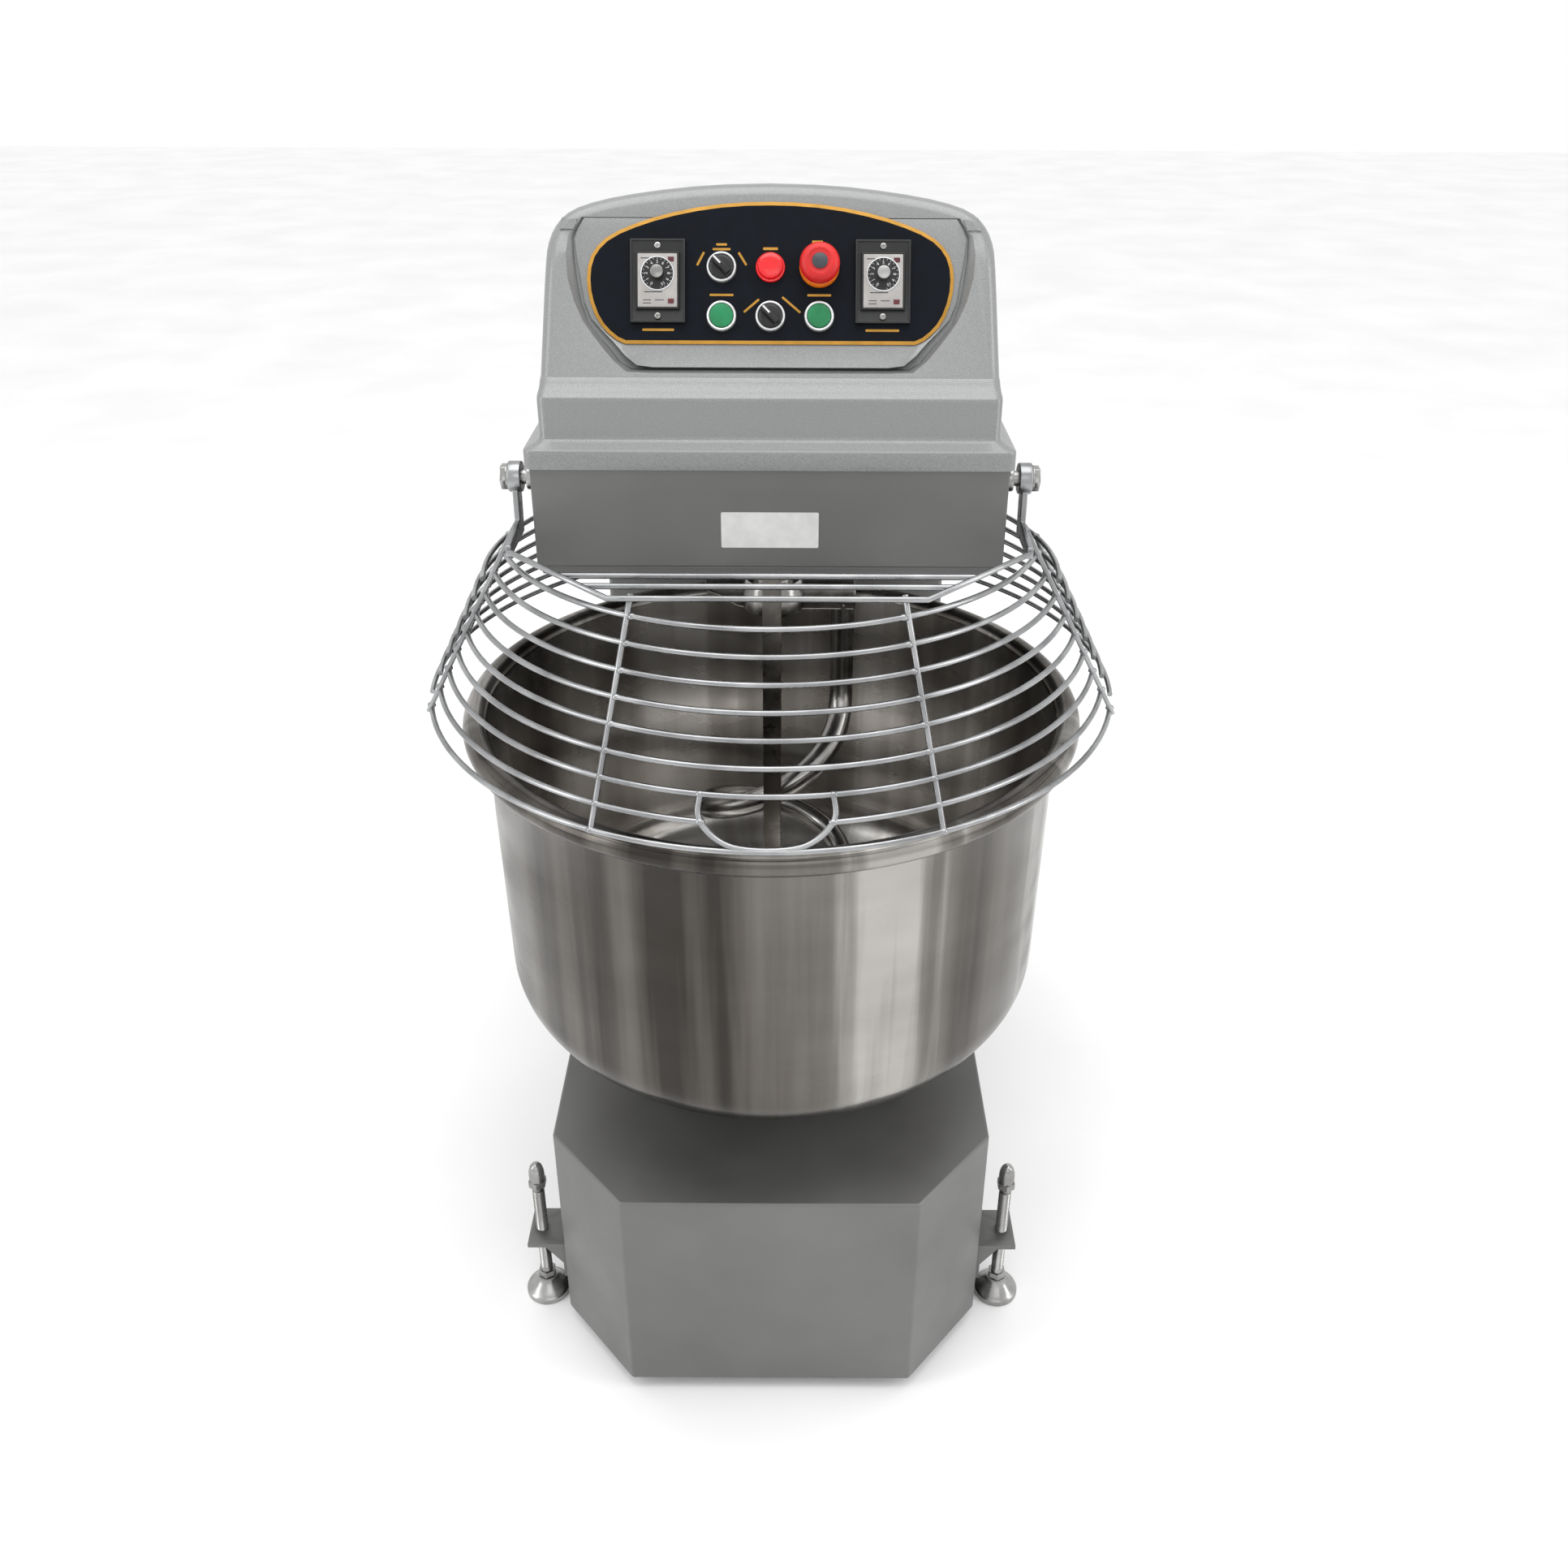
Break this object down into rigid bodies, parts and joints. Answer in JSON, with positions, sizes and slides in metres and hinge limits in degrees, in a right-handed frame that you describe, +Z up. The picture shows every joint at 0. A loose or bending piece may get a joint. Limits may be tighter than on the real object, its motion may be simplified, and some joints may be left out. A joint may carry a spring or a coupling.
{
  "type": "spiral dough mixer",
  "caption": "Floor-standing spiral dough mixer: turning steel bowl, spiral hook, breaker bar, lift-up wire guard, control panel and levelling feet.",
  "frame": {"origin": "on the floor under the middle of the machine", "axes": "+Z up, -Y towards the operator, +X to the right of someone facing the same way as +Y"},
  "size_m": [0.7858, 1.1836, 1.424],
  "materials": {
    "painted_steel": "satin grey paint on sheet steel",
    "painted_moulding": "silver-grey paint on a moulded shell",
    "stainless": "spun and brushed stainless steel",
    "bright_wire": "bright drawn stainless wire",
    "dark_steel": "machined steel",
    "cast_iron": "cast iron",
    "rubber": "black rubber belt",
    "panel_film": "printed dark blue panel with a gold edge",
    "black_plastic": "black moulded plastic",
    "grey_plastic": "light grey moulded plastic",
    "red_plastic": "red moulded plastic",
    "yellow_plastic": "amber moulded plastic",
    "green_plastic": "green moulded plastic",
    "motor_paint": "blue motor enamel"
  },
  "bodies": {
    "frame": {"base_casing": "painted_steel", "chassis_plate": "dark_steel", "foot_bracket_front_left": "painted_steel", "foot_bracket_front_right": "painted_steel", "foot_bracket_rear_left": "painted_steel", "foot_bracket_rear_right": "painted_steel", "bowl_bearing_housing": "cast_iron", "bowl_motor": "motor_paint", "bowl_belt": "rubber", "column_casing": "painted_steel", "rear_cover": "painted_steel", "cable_gland": "black_plastic", "electrical_box": "grey_plastic", "head_casing": "painted_steel", "head_cover": "painted_moulding", "spiral_motor": "motor_paint", "spiral_belt": "rubber", "spiral_bearing_housing": "cast_iron", "breaker_bar": "stainless", "guard_rear_left": "bright_wire", "guard_rear_right": "bright_wire", "guard_pivot_left": "stainless", "guard_pivot_right": "stainless", "guard_switch": "black_plastic", "control_panel": "panel_film", "timer_frame_left": "black_plastic", "timer_frame_right": "black_plastic", "timer_face_left": "grey_plastic", "timer_face_right": "grey_plastic", "mode_selector_bezel": "stainless", "cycle_selector_bezel": "stainless", "power_lamp": "red_plastic", "stop_collar": "yellow_plastic", "start_button_bezel_left": "stainless", "start_button_bezel_right": "stainless"},
    "bowl_assembly": {"bowl": "stainless", "bowl_turntable": "cast_iron", "bowl_spindle": "dark_steel", "bowl_pulley": "cast_iron"},
    "bowl_drive": {"bowl_motor_pulley": "cast_iron"},
    "spiral_assembly": {"spiral_hook": "stainless", "spiral_shaft": "stainless", "spiral_pulley": "cast_iron"},
    "spiral_drive": {"spiral_motor_pulley": "cast_iron"},
    "front_guard": {"guard_front": "bright_wire"},
    "left_dial": {"timer_dial_left": "black_plastic"},
    "right_dial": {"timer_dial_right": "black_plastic"},
    "mode_selector": {"mode_selector_knob": "black_plastic"},
    "cycle_selector": {"cycle_selector_knob": "black_plastic"},
    "emergency_stop": {"stop_button": "red_plastic"},
    "left_button": {"start_button_left": "green_plastic"},
    "right_button": {"start_button_right": "green_plastic"},
    "foot_front_left": {"levelling_screw_front_left": "stainless", "foot_pad_front_left": "stainless"},
    "foot_front_right": {"levelling_screw_front_right": "stainless", "foot_pad_front_right": "stainless"},
    "foot_rear_left": {"levelling_screw_rear_left": "stainless", "foot_pad_rear_left": "stainless"},
    "foot_rear_right": {"levelling_screw_rear_right": "stainless", "foot_pad_rear_right": "stainless"}
  },
  "joints": [
    {"name": "bowl_spin", "type": "hinge", "parent": "frame", "child": "bowl_assembly", "pos_m": [0, -0.1985, 0.4], "axis": [0, 0, 1], "continuous": true},
    {"name": "bowl_motor_spin", "type": "hinge", "parent": "frame", "child": "bowl_drive", "pos_m": [0, 0.3865, 0.052], "axis": [0, 0, 1], "continuous": true},
    {"name": "spiral_spin", "type": "hinge", "parent": "frame", "child": "spiral_assembly", "pos_m": [0, -0.0485, 0.905], "axis": [0, 0, 1], "continuous": true},
    {"name": "spiral_motor_spin", "type": "hinge", "parent": "frame", "child": "spiral_drive", "pos_m": [0, 0.3865, 1.096], "axis": [0, 0, 1], "continuous": true},
    {"name": "guard_lift", "type": "hinge", "parent": "frame", "child": "front_guard", "pos_m": [0, -0.2865, 1.151], "axis": [-1, 0, 0], "range_deg": [0, 70]},
    {"name": "timer_left_turn", "type": "hinge", "parent": "frame", "child": "left_dial", "pos_m": [-0.1126, -0.22654, 1.34016], "axis": [0, 0.9135, -0.4067], "range_deg": [0, 300]},
    {"name": "timer_right_turn", "type": "hinge", "parent": "frame", "child": "right_dial", "pos_m": [0.1126, -0.22654, 1.34016], "axis": [0, 0.9135, -0.4067], "range_deg": [0, 300]},
    {"name": "mode_selector_turn", "type": "hinge", "parent": "frame", "child": "mode_selector", "pos_m": [-0.049, -0.22329, 1.34747], "axis": [0, 0.9135, -0.4067], "range_deg": [0, 90]},
    {"name": "cycle_selector_turn", "type": "hinge", "parent": "frame", "child": "cycle_selector", "pos_m": [0, -0.24285, 1.30353], "axis": [0, 0.9135, -0.4067], "range_deg": [0, 90]},
    {"name": "stop_press", "type": "slide", "parent": "frame", "child": "emergency_stop", "axis": [0, 0.9135, -0.4067], "range_m": [0, 0.005], "stiffness_N_per_m": 2000},
    {"name": "start_left_press", "type": "slide", "parent": "frame", "child": "left_button", "axis": [0, 0.9135, -0.4067], "range_m": [0, 0.003], "stiffness_N_per_m": 1500},
    {"name": "start_right_press", "type": "slide", "parent": "frame", "child": "right_button", "axis": [0, 0.9135, -0.4067], "range_m": [0, 0.003], "stiffness_N_per_m": 1500},
    {"name": "foot_front_left_adjust", "type": "slide", "parent": "frame", "child": "foot_front_left", "axis": [0, 0, -1], "range_m": [-0.012, 0.02]},
    {"name": "foot_front_right_adjust", "type": "slide", "parent": "frame", "child": "foot_front_right", "axis": [0, 0, -1], "range_m": [-0.012, 0.02]},
    {"name": "foot_rear_left_adjust", "type": "slide", "parent": "frame", "child": "foot_rear_left", "axis": [0, 0, -1], "range_m": [-0.012, 0.02]},
    {"name": "foot_rear_right_adjust", "type": "slide", "parent": "frame", "child": "foot_rear_right", "axis": [0, 0, -1], "range_m": [-0.012, 0.02]}
  ],
  "couplings": [
    {"joint": "bowl_motor_spin", "follows": "bowl_spin", "ratio": 4.2051},
    {"joint": "spiral_motor_spin", "follows": "spiral_spin", "ratio": 2.5909}
  ]
}
